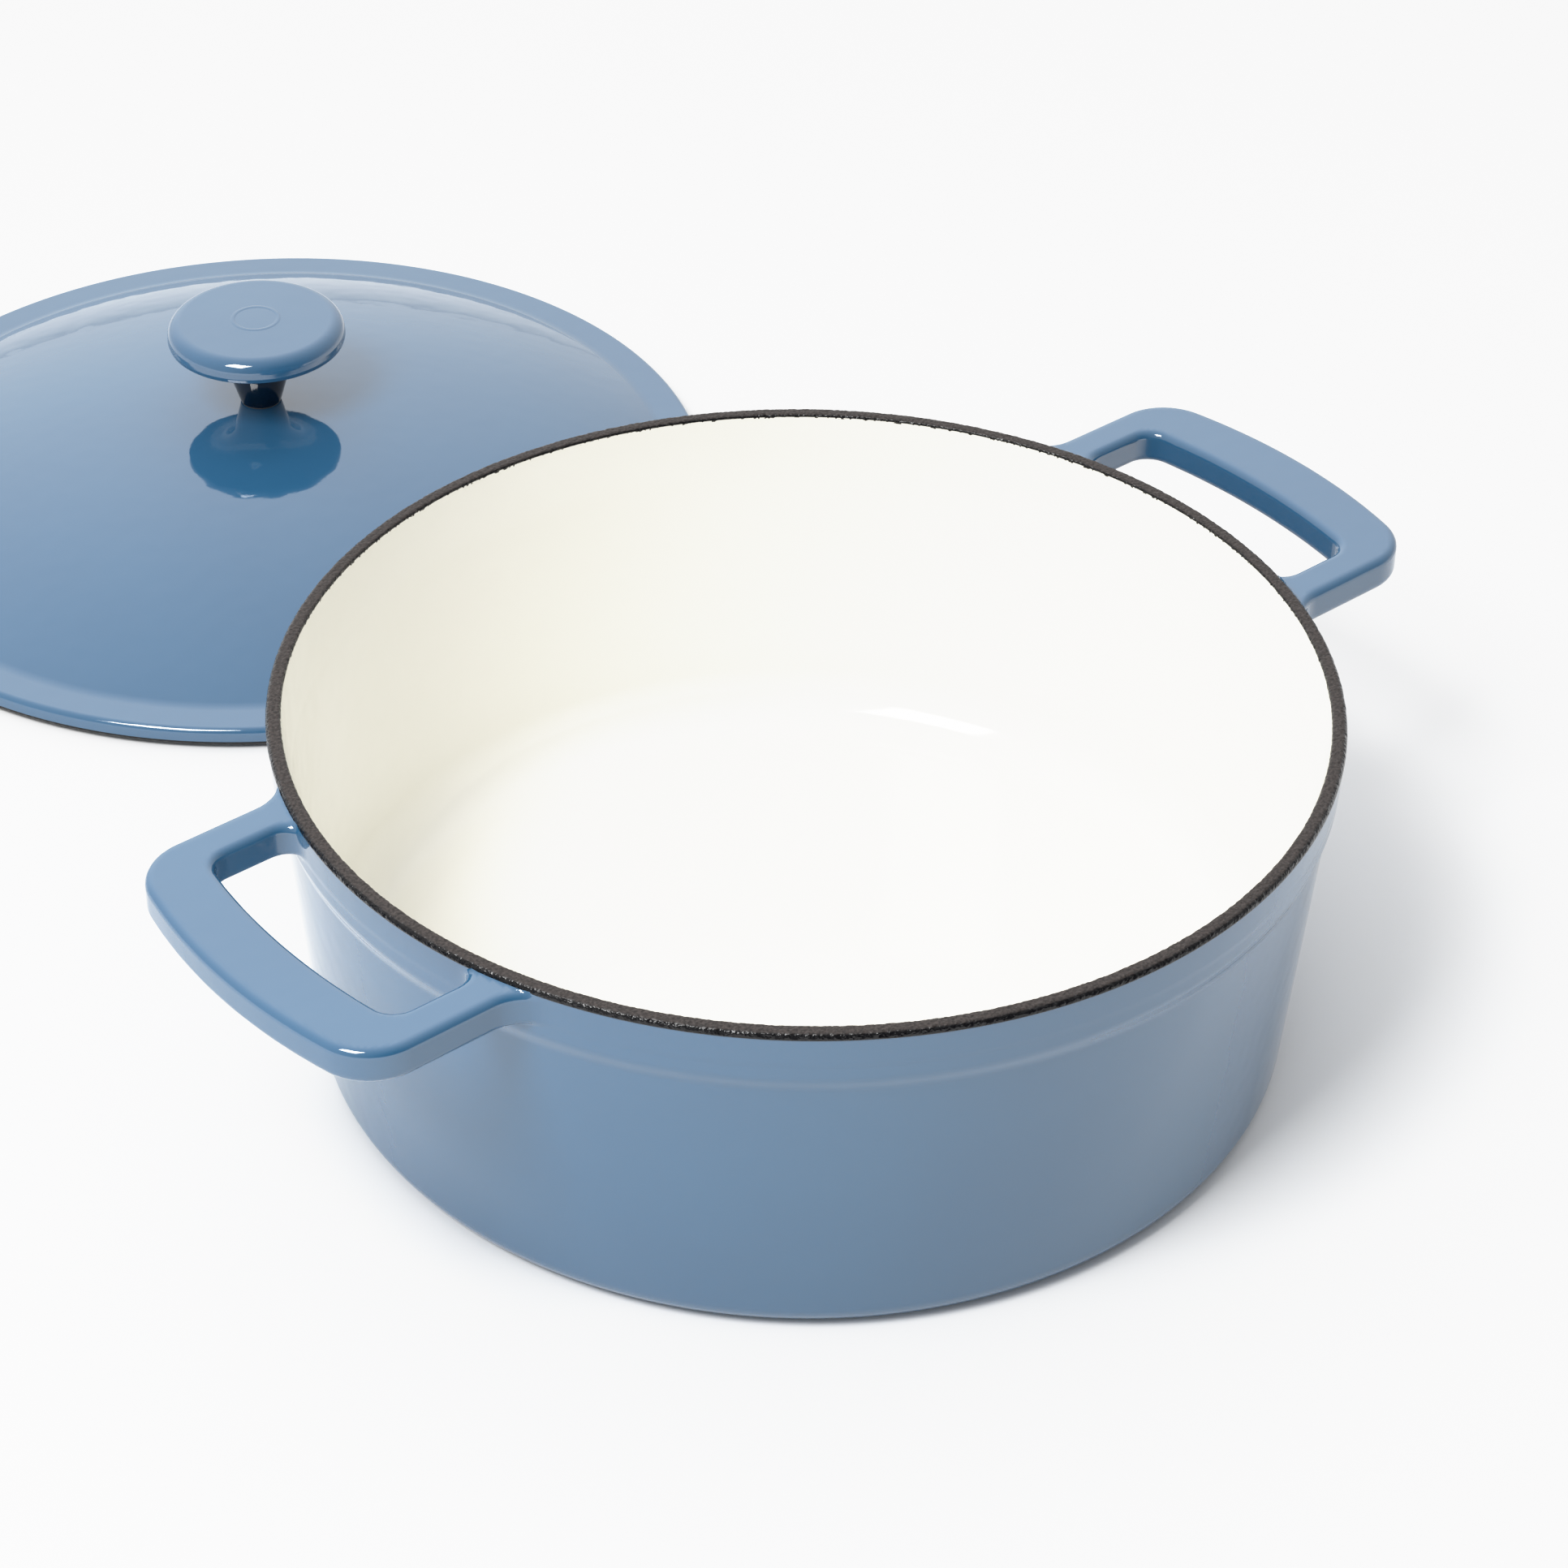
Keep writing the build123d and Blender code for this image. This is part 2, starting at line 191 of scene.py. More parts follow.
def pot_field(x, y, z):
    """Distance to the outside of the pot with both handles, treated as solid."""
    r = np.hypot(x, y)
    slope = 1 / math.hypot(1, WALL_SLOPE)
    wall = (r - WALL_FOOT - WALL_SLOPE * z) * slope
    body = meet_round(wall, FOOT_GAP - z, CORNER)
    shoulder = COLLAR_BOTTOM + COLLAR_STEP_HEIGHT
    rise = (z - shoulder) / (POT_HEIGHT - RIM_EDGE - shoulder)
    side = r - (BLUE_RADIUS - COLLAR_DRAFT * (1 - rise))
    lean = COLLAR_STEP / COLLAR_STEP_HEIGHT
    under = (r - WALL_TOP - lean * (z - COLLAR_BOTTOM)) / math.hypot(1, lean)
    body = union_round(body, meet_round(side, under, STEP_ROUNDING), STEP_ROUNDING)
    ax, ay = np.abs(x), np.abs(y)
    plan = np.maximum(loop_field(ax, ay, **GRIP), -loop_field(ax, ay, **OPENING))
    plan = union_round(plan, r - ROOT_CIRCLE, ROOT_FILLET) + HANDLE_EDGE
    half = HANDLE_THICKNESS / 2
    flat = np.abs(z - HANDLE_TOP + half) - half + HANDLE_EDGE
    outside = np.hypot(np.maximum(plan, 0), np.maximum(flat, 0))
    handles = np.minimum(np.maximum(plan, flat), 0) + outside - HANDLE_EDGE
    return union_round(body, handles, ROOT_BLEND)


def gradient(field, points, step=0.02):
    """Unit normals of a field at points."""
    normals = np.empty_like(points)
    for axis in range(3):
        shift = np.zeros(3)
        shift[axis] = step
        normals[:, axis] = field(*(points + shift).T) - field(*(points - shift).T)
    length = np.linalg.norm(normals, axis=1, keepdims=True)
    return normals / np.maximum(length, 1e-9)


def field_surface(field, xs, ys, zs, keep):
    """Quads of the surface where a field is zero, one vertex to each grid cell it crosses.

    keep(x, y, z) says which grid edges may make a face.
    """
    x, y, z = np.meshgrid(xs, ys, zs, indexing="ij")
    values = field(x, y, z)
    inside = values < 0
    total = np.zeros(tuple(n - 1 for n in values.shape) + (3,))
    count = np.zeros(total.shape[:3])
    grid = np.stack([x, y, z], axis=-1)
    spans = [slice(0, -1), slice(1, None)]
    crossings = []
    for axis in range(3):
        lower, upper = [slice(None)] * 3, [slice(None)] * 3
        lower[axis], upper[axis] = spans
        lower, upper = tuple(lower), tuple(upper)
        crossed = inside[lower] != inside[upper]
        a, b = values[lower], values[upper]
        share = np.where(crossed, a / np.where(crossed, a - b, 1), 0)[..., None]
        place = grid[lower] * (1 - share) + grid[upper] * share
        others = [k for k in range(3) if k != axis]
        for s in spans:
            for t in spans:
                part = [slice(None)] * 3
                part[others[0]], part[others[1]] = s, t
                part = tuple(part)
                total += np.where(crossed[part][..., None], place[part], 0)
                count += crossed[part]
        crossings.append((axis, others, crossed, inside[lower]))
    used = count > 0
    number = np.full(used.shape, -1)
    number[used] = np.arange(used.sum())
    points = total[used] / count[used][:, None]
    quads = []
    for axis, others, crossed, below_inside in crossings:
        index = np.argwhere(crossed)
        rim = [values.shape[k] - 1 for k in range(3)]
        fits = np.ones(len(index), bool)
        for k in others:
            fits &= (index[:, k] > 0) & (index[:, k] < rim[k])
        index = index[fits]
        index = index[keep(*grid[tuple(index.T)].T)]
        corners = []
        for du, dv in ((0, 0), (1, 0), (1, 1), (0, 1)):
            cell = index.copy()
            cell[:, others[0]] -= du
            cell[:, others[1]] -= dv
            corners.append(number[tuple(cell.T)])
        quad = np.stack(corners, axis=1)
        outward = below_inside[tuple(index.T)]
        if axis == 1:
            outward = ~outward
        quad[~outward] = quad[~outward][:, ::-1]
        quads.append(quad)
    quads = np.concatenate(quads)
    kept, quads = np.unique(quads, return_inverse=True)
    quads = quads.reshape(-1, 4)
    points = points[kept]
    for _ in range(4):
        points -= gradient(field, points) * field(*points.T)[:, None]
    return points, quads


def make_object(name, points, faces, normals=None, smooth=True):
    """Mesh object from points in millimetres, with its own normals if they are given."""
    mesh = bpy.data.meshes.new(name)
    mesh.from_pydata((np.asarray(points) * MM).tolist(), [], faces)
    mesh.validate()
    if smooth:
        mesh.shade_smooth()
    if normals is not None:
        mesh.normals_split_custom_set_from_vertices(np.asarray(normals).tolist())
    mesh.update()
    piece = bpy.data.objects.new(name, mesh)
    bpy.context.scene.collection.objects.link(piece)
    return piece


def shell_of(points, faces, normals, thickness):
    """Closed shell from an open surface: the same surface set in, and walls along the edges."""
    count = len(points)
    faces = [[int(i) for i in face] for face in faces]
    edges = {edge for face in faces for edge in zip(face, face[1:] + face[:1])}
    border = sorted((a, b) for a, b in edges if (b, a) not in edges)
    back = [[i + count for i in reversed(face)] for face in faces]
    walls = [[b, a, a + count, b + count] for a, b in border]
    all_points = np.concatenate([points, points - normals * thickness])
    all_normals = np.concatenate([normals, -normals])
    return all_points, faces + back + walls, all_normals


def rounded_path(corners, step=0.6, long_step=12.0):
    """Points and outward normals along a path of (radius, height, rounding) corners.

    The path runs with the outside on its right. Roundings become arcs.
    """
    points, normals = [], []

    def add(p, n):
        points.append(p)
        normals.append(n)

    def side(d):
        return np.array([d[1], -d[0]])

    corner = [np.array(c[:2], float) for c in corners]
    start = corner[0]
    for i in range(1, len(corners)):
        heading = (corner[i] - corner[i - 1]) / np.linalg.norm(corner[i] - corner[i - 1])
        end = corner[i]
        turn = 0.0
        if i < len(corners) - 1:
            onward = (corner[i + 1] - corner[i]) / np.linalg.norm(corner[i + 1] - corner[i])
            turn = math.atan2(heading[0] * onward[1] - heading[1] * onward[0], heading @ onward)
            rounding = corners[i][2]
            end = corner[i] - heading * rounding * abs(math.tan(turn / 2))
        length = np.linalg.norm(end - start)
        pieces = max(1, round(length / long_step))
        for k in range(pieces + 1):
            add(start + (end - start) * k / pieces, side(heading))
        if i < len(corners) - 1:
            centre = end + np.array([-heading[1], heading[0]]) * rounding * math.copysign(1, turn)
            pieces = max(3, round(abs(turn) * max(rounding, 0.5) / step), round(abs(turn) / 0.2))
            spoke = end - centre
            for k in range(1, pieces + 1):
                angle = turn * k / pieces
                cos, sin = math.cos(angle), math.sin(angle)
                arm = np.array([spoke[0] * cos - spoke[1] * sin, spoke[0] * sin + spoke[1] * cos])
                n = side(heading)
                n = np.array([n[0] * cos - n[1] * sin, n[0] * sin + n[1] * cos])
                if k < pieces:
                    add(centre + arm, n)
            start = centre + arm
    return np.array(points), np.array(normals)


def turned(path, normals, segments, centre=(0.0, 0.0), closed=False):
    """Surface turned from a path. A point on the axis becomes one pole vertex."""
    points, turned_normals, rings = [], [], []
    angles = np.arange(segments) * 2 * math.pi / segments
    cos, sin = np.cos(angles), np.sin(angles)
    for (r, z), (nr, nz) in zip(path, normals):
        if r < 1e-6:
            rings.append([len(points)] * segments)
            points.append((centre[0], centre[1], z))
            turned_normals.append((0, 0, math.copysign(1, nz)))
            continue
        first = len(points)
        rings.append(list(range(first, first + segments)))
        points += list(zip(centre[0] + r * cos, centre[1] + r * sin, [z] * segments))
        turned_normals += list(zip(nr * cos, nr * sin, [nz] * segments))
    faces = []
    loops = len(rings) if closed else len(rings) - 1
    for i in range(loops):
        a, b = rings[i], rings[(i + 1) % len(rings)]
        for k in range(segments):
            face = [a[k], a[(k + 1) % segments], b[(k + 1) % segments], b[k]]
            faces.append(list(dict.fromkeys(face)))
    return np.array(points), faces, np.array(turned_normals)


def turned_shell(name, path, normals, segments, centre=(0.0, 0.0), thickness=COAT):
    """Closed turned shell, its seen side along the path and its back set in by the coat."""
    return make_object(name, *shell_of(*turned(path, normals, segments, centre), thickness))


# =============================== materials ===============================


def material(name):
    """Node material with its Principled shader and a function that adds linked nodes."""
    made = bpy.data.materials.new(name)
    made.use_nodes = True
    tree = made.node_tree
    shader = next(n for n in tree.nodes if n.type == "BSDF_PRINCIPLED")

    def node(kind, values=None, links=None, **settings):
        added = tree.nodes.new(kind)
        for key, value in settings.items():
            setattr(added, key, value)
        for socket, value in (values or {}).items():
            added.inputs[socket].default_value = value
        for socket, source in (links or {}).items():
            tree.links.new(source, added.inputs[socket])
        return added

    def link(source, socket):
        tree.links.new(source, shader.inputs[socket])

    return made, shader, node, link


def tint_noise(node, coords, scale, low, high, detail=3.0, start=0.35, end=0.65):
    """Colour that drifts between two tints."""
    drift = node("ShaderNodeTexNoise", {"Scale": scale, "Detail": detail}, {"Vector": coords})
    ramp = node("ShaderNodeValToRGB", links={"Fac": drift.outputs["Fac"]})
    ramp.color_ramp.elements[0].position = start
    ramp.color_ramp.elements[0].color = (*low, 1)
    ramp.color_ramp.elements[1].position = end
    ramp.color_ramp.elements[1].color = (*high, 1)
    return ramp.outputs["Color"]


def height_noise(node, coords, scale, depth, below=None, detail=2.0):
    """Bump of a given depth in metres, laid over another bump if one is given."""
    bumps = node("ShaderNodeTexNoise", {"Scale": scale, "Detail": detail}, {"Vector": coords})
    links = {"Height": bumps.outputs["Fac"]}
    if below is not None:
        links["Normal"] = below
    return node("ShaderNodeBump", {"Strength": 1.0, "Distance": depth}, links).outputs["Normal"]


TINT_SCALE = 14.0
WAVE_SCALE = 170.0
PEEL_SCALE = 700.0


def enamel(name, low, high, roughness=0.05, ior=1.6, peel=5e-6, wave=6e-5, painted_shade=None):
    """Glossy vitreous enamel with a faint orange peel over slow waves.

    painted_shade = (upper height, lower height, colour) paints shade: below the upper height the
    tint fades into the colour, and below the lower one it is that colour.
    """
    made, shader, node, link = material(name)
    coords = node("ShaderNodeTexCoord").outputs["Object"]
    tint = tint_noise(node, coords, TINT_SCALE, low, high)
    # Painted shade: below the lower height the tint gives way to the dark colour, and between the
    # heights it fades into it.
    if painted_shade:
        height = node("ShaderNodeSeparateXYZ", links={"Vector": coords}).outputs["Z"]
        ends = {"From Min": painted_shade[1], "From Max": painted_shade[0]}
        share = node("ShaderNodeMapRange", ends, {"Value": height}).outputs["Result"]
        mix = node("ShaderNodeMixRGB", {"Color1": (*painted_shade[2], 1)}, {"Fac": share, "Color2": tint})
        tint = mix.outputs["Color"]
    link(tint, "Base Color")
    slow = height_noise(node, coords, WAVE_SCALE, wave, detail=0.0)
    link(height_noise(node, coords, PEEL_SCALE, peel, below=slow), "Normal")
    shader.inputs["Roughness"].default_value = roughness
    shader.inputs["IOR"].default_value = ior
    return made


GRAIN_TINT_SCALE = 1400.0
COARSE_GRAIN = dict(scale=900.0, depth=4e-4, detail=1.0)
FINE_GRAIN = dict(scale=2200.0, depth=8e-5, detail=2.0)
GLOSSY_SIDE, MATT_TOP = 0.12, 0.6
BLACK_BLEND = 3e-4  # height over which the glossy side turns into the matt top, metres
BLACK_IOR = 1.4


def rough_enamel(name, black, low, high, rough_above):
    """Thin black coat that shows the iron's grain: glossy below; matt on top, with a lighter
    brownish tint there that is partly grain and partly painted sheen.
    """
    made, shader, node, link = material(name)
    coords = node("ShaderNodeTexCoord").outputs["Object"]
    coarse = height_noise(node, coords, **COARSE_GRAIN)
    link(height_noise(node, coords, below=coarse, **FINE_GRAIN), "Normal")
    height = {"Value": node("ShaderNodeSeparateXYZ", links={"Vector": coords}).outputs["Z"]}
    ends = {"From Min": rough_above - BLACK_BLEND, "From Max": rough_above}
    gloss = {**ends, "To Min": GLOSSY_SIDE, "To Max": MATT_TOP}
    link(node("ShaderNodeMapRange", gloss, height).outputs["Result"], "Roughness")
    # Painted sheen: on the matt top the black gives way to a lighter brownish tint, partly the
    # coat's grain and partly painted sheen.
    on_top = node("ShaderNodeMapRange", ends, height).outputs["Result"]
    grain = tint_noise(node, coords, GRAIN_TINT_SCALE, low, high)
    tints = {"Fac": on_top, "Color2": grain}
    mix = node("ShaderNodeMixRGB", {"Color1": (*black, 1)}, tints)
    link(mix.outputs["Color"], "Base Color")
    shader.inputs["IOR"].default_value = BLACK_IOR
    return made


def bare_metal(name, low, high, roughness, grain, scale):
    """Bare metal with a drifting tone and a fine grain."""
    made, shader, node, link = material(name)
    coords = node("ShaderNodeTexCoord").outputs["Object"]
    link(tint_noise(node, coords, scale, low, high), "Base Color")
    link(height_noise(node, coords, scale * 6, grain), "Normal")
    shader.inputs["Metallic"].default_value = 1.0
    shader.inputs["Roughness"].default_value = roughness
    return made


def matt(name, low, high, roughness, grain):
    """Matt surface with a drifting tone."""
    made, shader, node, link = material(name)
    coords = node("ShaderNodeTexCoord").outputs["Object"]
    link(tint_noise(node, coords, 60.0, low, high), "Base Color")
    link(height_noise(node, coords, 800.0, grain), "Normal")
    shader.inputs["Roughness"].default_value = roughness
    return made


BLUE_LOW, BLUE_HIGH = (0.0225, 0.095, 0.190), (0.0245, 0.102, 0.200)
BLUE_IOR = 1.9
BLUE = enamel("blue_enamel", BLUE_LOW, BLUE_HIGH, ior=BLUE_IOR)
# Painted shade under the knob's cap: the stem is coloured near-black navy up to 15 mm over the
# knob's base, fading into the blue by 18 mm.
STEM_SHADE = (knob_low.z + 0.018, knob_low.z + 0.015, (0.001, 0.002, 0.010))
KNOB_BLUE_WITH_PAINTED_SHADE = enamel("knob_enamel", BLUE_LOW, BLUE_HIGH, ior=BLUE_IOR, painted_shade=STEM_SHADE)
CREAM = enamel("cream_enamel", (0.872, 0.856, 0.788), (0.882, 0.866, 0.798), roughness=0.1, ior=1.6)
# Black below; the brownish low to high tint on the rim's top is partly grain and partly painted
# sheen.
BLACK = rough_enamel(
    "black_enamel",
    black=(0.002, 0.002, 0.003),
    low=(0.012, 0.009, 0.008),
    high=(0.046, 0.036, 0.033),
    rough_above=rim_high.z - 1.5e-4,
)
BASE = enamel("base_enamel", (0.030, 0.028, 0.030), (0.040, 0.037, 0.038), roughness=0.3, peel=3e-5)
IRON = bare_metal("cast_iron", (0.10, 0.098, 0.10), (0.17, 0.165, 0.165), 0.55, 6e-5, 120.0)
STEEL = bare_metal("stainless_steel", (0.56, 0.55, 0.54), (0.64, 0.63, 0.62), 0.28, 4e-6, 300.0)
RUBBER = matt("gasket", (0.05, 0.05, 0.052), (0.07, 0.07, 0.072), 0.7, 2e-5)


def dress(piece, finish):
    """Give a piece one material."""
    piece.data.materials.clear()
    piece.data.materials.append(finish)


def hand_over(piece, finish, node, body):
    """Finish a piece, tie it to its body and let it stand for its CAD node."""
    dress(piece, finish)
    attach(piece, body)
    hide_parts(node)


# ============================== pot: outside =============================


def levels(*spans):
    """Grid lines from (start, end, step) spans that follow each other."""
    lines = [np.arange(start, end - step / 2, step) for start, end, step in spans]
    return np.concatenate(lines + [[spans[-1][1]]])


def in_blue(x, y, z):
    """Where the outer coat of the pot is: below the black rim and outside the foot."""
    return (z < BLUE_TOP) & ((np.hypot(x, y) > FOOT_RADIUS) | (z > CORNER))


def snap_border(points, faces):
    """Bring the open edges of the outer coat onto its top plane and its foot circle."""
    edges = {tuple(e) for f in faces.tolist() for e in zip(f, f[1:] + f[:1])}
    border = np.array(sorted({i for a, b in edges if (b, a) not in edges for i in (a, b)}))
    top = border[points[border, 2] > POT_HEIGHT / 2]
    foot = border[points[border, 2] < POT_HEIGHT / 2]
    for _ in range(4):
        points[top, 2] = BLUE_TOP
        points[foot, :2] *= FOOT_RADIUS / np.hypot(*points[foot, :2].T)[:, None]
        for part, spread in ((top, (1, 1, 0)), (foot, (0, 0, 1))):
            off = pot_field(*points[part].T)[:, None]
            points[part] -= gradient(pot_field, points[part]) * off * np.array(spread)


FINE = 1.15
grid_x = levels((-GRIP["reach"] - 2, GRIP["reach"] + 2, FINE))
grid_y = levels((-RIM_RADIUS - 2, RIM_RADIUS + 2, FINE))
grid_z = levels((-0.6, 8, 0.8), (8, 80, 6), (80, 87, 0.5), (87, POT_HEIGHT + 1, 0.8))
points, quads = field_surface(pot_field, grid_x, grid_y, grid_z, in_blue)
snap_border(points, quads)
normals = gradient(pot_field, points)
pot_exterior = make_object("pot_exterior", *shell_of(points, quads.tolist(), normals, COAT))
hand_over(pot_exterior, BLUE, "pot_exterior_enamel", "pot")

# ========================== pot: inside and rim ==========================

INNER_RIM = RIM_RADIUS - RIM_WIDTH
inner_knee = WALL_TOP - WALL_THICKNESS
inner_floor = WALL_FOOT + WALL_SLOPE * FLOOR - WALL_THICKNESS
path, normals = rounded_path(
    [
        (INNER_RIM, POT_HEIGHT - LIP_EDGE, 0),
        (inner_knee, COLLAR_BOTTOM, KNEE_ROUNDING),
        (inner_floor, FLOOR, FLOOR_FILLET),
        (0.0, FLOOR, 0),
    ],
    long_step=6.0,
)
pot_interior = turned_shell("pot_interior", path, normals, POT_SEGMENTS)
hand_over(pot_interior, CREAM, "pot_interior_enamel", "pot")


def pebbles(points, normals, size, depth, seed):
    """Push points in along their normals by a seeded noise, up to the depth at each point."""
    shift = Vector((seed * 31.7, seed * 17.3, seed * 7.9))
    amount = []
    for p in points:
        place = Vector(p) / size + shift
        coarse = noise.noise(place * 0.5)
        amount.append(0.5 + 0.5 * math.tanh(2.2 * noise.noise(place) + 1.2 * coarse))
    return points - normals * (depth * np.array(amount))[:, None]


black_outside = RIM_RADIUS - BLACK_INSET
black_inside = INNER_RIM - BLACK_INNER_PROUD
path, normals = rounded_path(
    [
        (black_outside, POT_HEIGHT - BLACK_OUTER_DROP, 0),
        (black_outside, POT_HEIGHT, RIM_EDGE),
        (black_inside, POT_HEIGHT, LIP_EDGE),
        (black_inside, POT_HEIGHT - BLACK_INNER_DROP, 0),
    ],
    step=0.3,
    long_step=0.34,
)
points, faces, normals = turned(path, normals, RIM_SEGMENTS)
depth = PEBBLE_DEPTH * np.clip((points[:, 2] - POT_HEIGHT + PEBBLE_START) / PEBBLE_RAMP, 0, 1)
outer = pebbles(points, normals, PEBBLE_SIZE, depth, PEBBLE_SEED)
rim_points, rim_faces, _ = shell_of(outer, faces, normals, BLACK_THICKNESS)
pot_rim = make_object("pot_rim", rim_points, rim_faces)
hand_over(pot_rim, BLACK, "pot_rim_enamel", "pot")

# ================================== lid ==================================


def dome_path(start, end, depth=0.0, count=60):
    """Part of the dome's arc, or of one that lies a depth below it, with its normals."""
    r = np.linspace(start, end, count)
    radius = DOME_RADIUS - depth
    z = DOME_CENTRE + np.sqrt(radius**2 - r**2)
    return np.stack([r, z], axis=1), np.stack([r, z - DOME_CENTRE], axis=1) / radius


def joined(*parts):
    """Paths laid end to end."""
    return np.concatenate([p for p, _ in parts]), np.concatenate([n for _, n in parts])


lid_centre = (LID_X, LID_Y)
dome_slope = DOME_EDGE / math.sqrt(DOME_RADIUS**2 - DOME_EDGE**2)
edge = rounded_path(
    [
        (LID_RADIUS - LID_INSET, LID_BLUE_BOTTOM, 0),
        (LID_RADIUS - LID_INSET, FLANGE_TOP, FLANGE_EDGE),
        (DOME_EDGE + (DOME_FOOT - FLANGE_TOP) / dome_slope, FLANGE_TOP, DOME_FILLET),
        (DOME_EDGE, DOME_FOOT, 0),
    ],
    step=0.25,
    long_step=2.0,
)
path, normals = joined(edge, dome_path(DOME_EDGE - DOME_LAP, KNOB_PAD - 4))
lid_exterior = turned_shell("lid_exterior", path, normals, LID_SEGMENTS, lid_centre)
hand_over(lid_exterior, BLUE, "lid_exterior_enamel", "lid")

under, under_normals = dome_path(SCREW_CLEARANCE, UNDER_EDGE, LID_THICKNESS)
under_foot = [
    (*UNDER_FOOT, 0),
    (UNDER_CORNER, RING_ROOT, RING_EDGE),
    (RING_INNER, RING_ROOT, 0),
]
path, normals = joined((under, -under_normals), rounded_path(under_foot))
lid_interior = turned_shell("lid_interior", path, normals, POT_SEGMENTS, lid_centre)
hand_over(lid_interior, CREAM, "lid_interior_enamel", "lid")

path, normals = rounded_path(
    [
        (RING_INNER, SEAT + 1.6, 0),
        (RING_INNER, RING_BOTTOM, RING_EDGE),
        (RING_OUTER, RING_BOTTOM, RING_EDGE),
        (RING_OUTER, SEAT, RING_CORNER),
        (LID_RADIUS - RIM_INSET, SEAT, RING_EDGE),
        (LID_RADIUS - RIM_INSET, LID_BLUE_BOTTOM + 0.1, 0),
    ],
    step=0.3,
    long_step=0.8,
)
lid_rim = turned_shell("lid_rim", path, normals, LID_SEGMENTS, lid_centre, LID_BLACK_THICKNESS)
hand_over(lid_rim, BLACK, "lid_rim_enamel", "lid")

# ================================== knob =================================

stem_turn = math.atan2(STEM_HEIGHT, STEM_LEAN)
flare = (UNDERSIDE - STEM_HEIGHT) / (1 - math.cos(stem_turn))
mark_top = CAP_FLAT + MARK_HEIGHT
path, normals = rounded_path(
    [
        (STEM_RADIUS, 0.0, 0),
        (STEM_RADIUS + UNDERSIDE * STEM_LEAN / STEM_HEIGHT, UNDERSIDE, flare),
        (CAP_RADIUS - CAP_UNDER_INSET, UNDERSIDE, CAP_UNDER_EDGE),
        (CAP_RADIUS - CAP_INSET, CAP_LIP, CAP_LIP_EDGE),
        (CAP_TOP_RADIUS, CAP_FLAT, CAP_SHOULDER),
        (MARK_RADIUS + 2 * MARK_SLOPE, CAP_FLAT + MARK_OUTER_FOOT, MARK_EDGE),
        (MARK_RADIUS + MARK_SLOPE, mark_top, MARK_EDGE),
        (MARK_RADIUS, mark_top, MARK_EDGE),
        (MARK_RADIUS - MARK_SLOPE, CAP_FLAT + MARK_INNER_FOOT, MARK_EDGE),
        (0.0, CAP_FLAT + CAP_CROWN, 0),
    ],
    step=0.4,
    long_step=1.5,
)
path = path + np.array([0.0, KNOB_BASE])
knob = turned_shell("knob", path, normals, KNOB_SEGMENTS, lid_centre)
hand_over(knob, KNOB_BLUE_WITH_PAINTED_SHADE, "knob_enamel", "lid")

# ================== CAD nodes that are seen as they are ==================

for name, finish in (
    ("pot_casting", IRON),
    ("lid_casting", IRON),
    ("knob_casting", IRON),
    ("pot_base_enamel", BASE),
    ("knob_gasket", RUBBER),
    ("flat_washer", STEEL),
    ("lock_washer", STEEL),
    ("knob_screw", STEEL),
):
    dress(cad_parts[name], finish)

# ============================ floor and light ============================

FLOOR_HALF_SIZE = 6.0  # metres


def paper(low, high):
    """Matt paper with a barely visible drift of tone."""
    made, shader, node, link = material("paper")
    coords = node("ShaderNodeTexCoord").outputs["Object"]
    link(tint_noise(node, coords, 3.0, low, high), "Base Color")
    shader.inputs["Roughness"].default_value = 0.9
    shader.inputs["Specular IOR Level"].default_value = 0.1
    return made


floor_mesh = bpy.data.meshes.new("floor")
floor_bm = bmesh.new()
bmesh.ops.create_grid(floor_bm, x_segments=1, y_segments=1, size=FLOOR_HALF_SIZE)
floor_bm.to_mesh(floor_mesh)
floor_bm.free()
floor = bpy.data.objects.new("floor", floor_mesh)
bpy.context.scene.collection.objects.link(floor)
dress(floor, paper((0.9, 0.9, 0.9), (0.91, 0.91, 0.91)))


def towards(azimuth, elevation):
    """Unit vector at an azimuth from +X and an elevation, in degrees."""
    a, e = math.radians(azimuth), math.radians(elevation)
    return Vector((math.cos(e) * math.cos(a), math.cos(e) * math.sin(a), math.sin(e)))


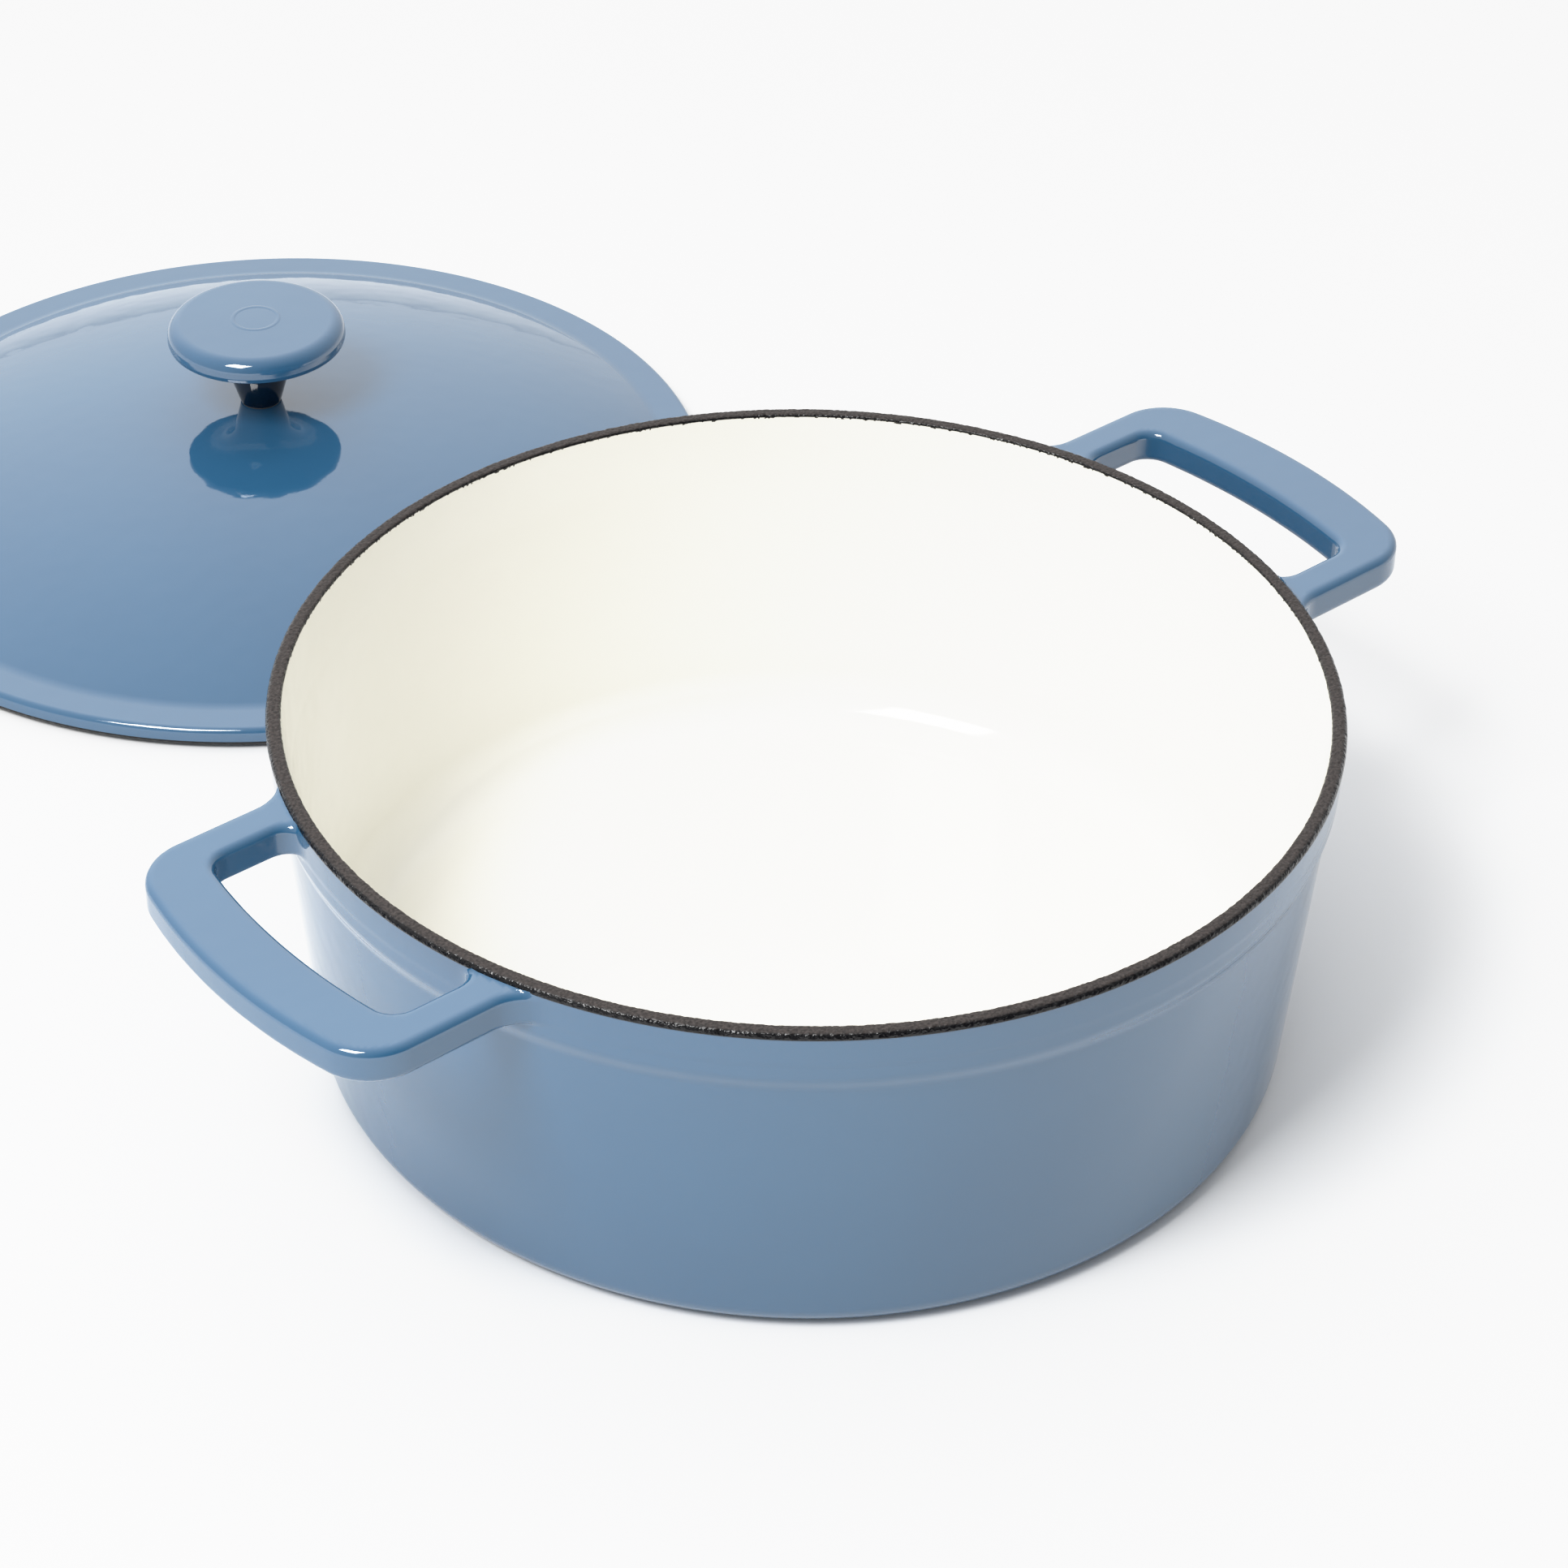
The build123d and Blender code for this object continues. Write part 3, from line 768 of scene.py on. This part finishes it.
def studio(base, lobes):
    """World light: a tone that changes with elevation, and smooth bright lobes on top of it."""
    world = bpy.data.worlds.new("studio")
    bpy.context.scene.world = world
    world.use_nodes = True
    tree = world.node_tree
    ray = tree.nodes.new("ShaderNodeTexCoord").outputs["Generated"]
    split = tree.nodes.new("ShaderNodeSeparateXYZ")
    tree.links.new(ray, split.inputs["Vector"])
    ramp = tree.nodes.new("ShaderNodeValToRGB")
    tree.links.new(split.outputs["Z"], ramp.inputs["Fac"])
    stops = ramp.color_ramp.elements
    while len(stops) < len(base):
        stops.new(0.5)
    for stop, (height, tone) in zip(stops, base):
        stop.position = height
        stop.color = (tone, tone, tone, 1)
    total = ramp.outputs["Color"]

    def sum_node(kind, operation, *values):
        """Maths node with its inputs set in order, each a link or a number."""
        added = tree.nodes.new(kind)
        added.operation = operation
        for socket, value in zip(added.inputs, values):
            if isinstance(value, bpy.types.NodeSocket):
                tree.links.new(value, socket)
            else:
                socket.default_value = value
        return added

    for direction, sharpness, strength in lobes:
        dot = sum_node("ShaderNodeVectorMath", "DOT_PRODUCT", ray, direction).outputs["Value"]
        fall = sum_node("ShaderNodeMath", "MULTIPLY_ADD", dot, sharpness, -sharpness)
        power = sum_node("ShaderNodeMath", "EXPONENT", fall.outputs["Value"])
        lobe = sum_node("ShaderNodeMath", "MULTIPLY", power.outputs["Value"], strength)
        lit = sum_node("ShaderNodeVectorMath", "ADD", total, lobe.outputs["Value"])
        total = lit.outputs["Vector"]
    tree.links.new(total, tree.nodes["Background"].inputs["Color"])


studio(
    base=[(0.0, 0.92), (0.3, 0.92), (0.75, 0.98), (1.0, 0.98)],
    lobes=[
        (towards(66, 36), 3.4, 1.0),  # bright wall beyond the table
        (towards(-92, 14), 2.0, -0.84),  # the dark side of the studio, behind the camera
    ],
)


def softbox(azimuth, elevation, distance, size, radiance):
    """Square soft light that faces the pot from an azimuth and an elevation."""
    light = bpy.data.lights.new("softbox", "AREA")
    light.shape = "SQUARE"
    light.size = size
    light.energy = radiance * math.pi * size**2
    box = bpy.data.objects.new("softbox", light)
    bpy.context.scene.collection.objects.link(box)
    way = towards(azimuth, elevation)
    box.location = way * distance
    box.rotation_euler = way.to_track_quat("Z", "Y").to_euler()


softbox(azimuth=189, elevation=55, distance=1.7, size=0.62, radiance=21.0)

# ================================= camera ================================

CAMERA_AZIMUTH = -40.29
CAMERA_ELEVATION = 36.49
CAMERA_ROLL = 0.84
CAMERA_DISTANCE = 1.1224
CAMERA_TARGET = Vector((0.0103, 0.0204, 0.054))
CAMERA_LENS = 98.76

camera_data = bpy.data.cameras.new("camera")
camera_data.lens = CAMERA_LENS
camera_data.sensor_width = 36.0
camera = bpy.data.objects.new("camera", camera_data)
bpy.context.scene.collection.objects.link(camera)
camera_turn = (
    Matrix.Rotation(math.radians(CAMERA_AZIMUTH), 4, "Z")
    @ Matrix.Rotation(math.radians(90 - CAMERA_ELEVATION), 4, "X")
    @ Matrix.Rotation(math.radians(CAMERA_ROLL), 4, "Z")
)
camera_back = Matrix.Translation((0, 0, CAMERA_DISTANCE))
camera.matrix_world = Matrix.Translation(CAMERA_TARGET) @ camera_turn @ camera_back
bpy.context.scene.camera = camera


def expose(points):
    """Photographic response: straight through the mid tones, a soft shoulder under white."""
    view = bpy.context.scene.view_settings
    view.view_transform = "Standard"
    view.use_curve_mapping = True
    mapping = view.curve_mapping
    mapping.clip_max_x = 4.0
    mapping.use_clip = True
    curve = mapping.curves[3]
    curve.points[0].location = points[0]
    curve.points[1].location = points[-1]
    for x, y in points[1:-1]:
        curve.points.new(x, y)
    mapping.update()


STRAIGHT = [(0.0, 0.0), (0.3, 0.3), (0.6, 0.595)]
SHOULDER = [(0.85, 0.8), (1.05, 0.905), (1.25, 0.94), (4.0, 0.945)]
expose(STRAIGHT + SHOULDER)
